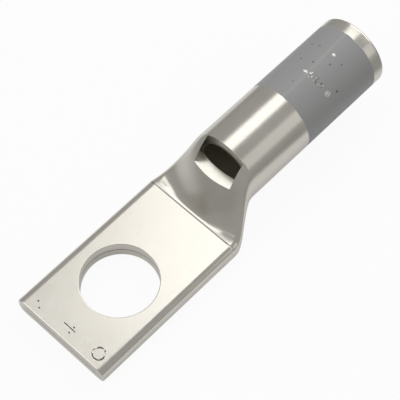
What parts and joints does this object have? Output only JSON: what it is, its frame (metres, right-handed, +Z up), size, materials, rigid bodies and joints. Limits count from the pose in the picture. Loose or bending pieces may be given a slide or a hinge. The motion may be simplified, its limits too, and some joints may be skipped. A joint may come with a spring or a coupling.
{
  "type": "cable lug",
  "caption": "Tinned copper compression cable lug made from one tube: round barrel with colour band, inspection window, pressed transition and flat tongue with a stud hole.",
  "frame": {"origin": "centre of the stud hole on the tongue's underside", "axes": "+X along the barrel towards its mouth, +Z up out of the tongue's top face, +Y across the tongue"},
  "size_m": [0.0456, 0.0126, 0.01],
  "materials": {
    "tinned_copper": "satin tin plating on copper, with a matte grey ink band round the barrel"
  },
  "bodies": {
    "root": {"cable_lug": "tinned_copper"}
  },
  "joints": []
}
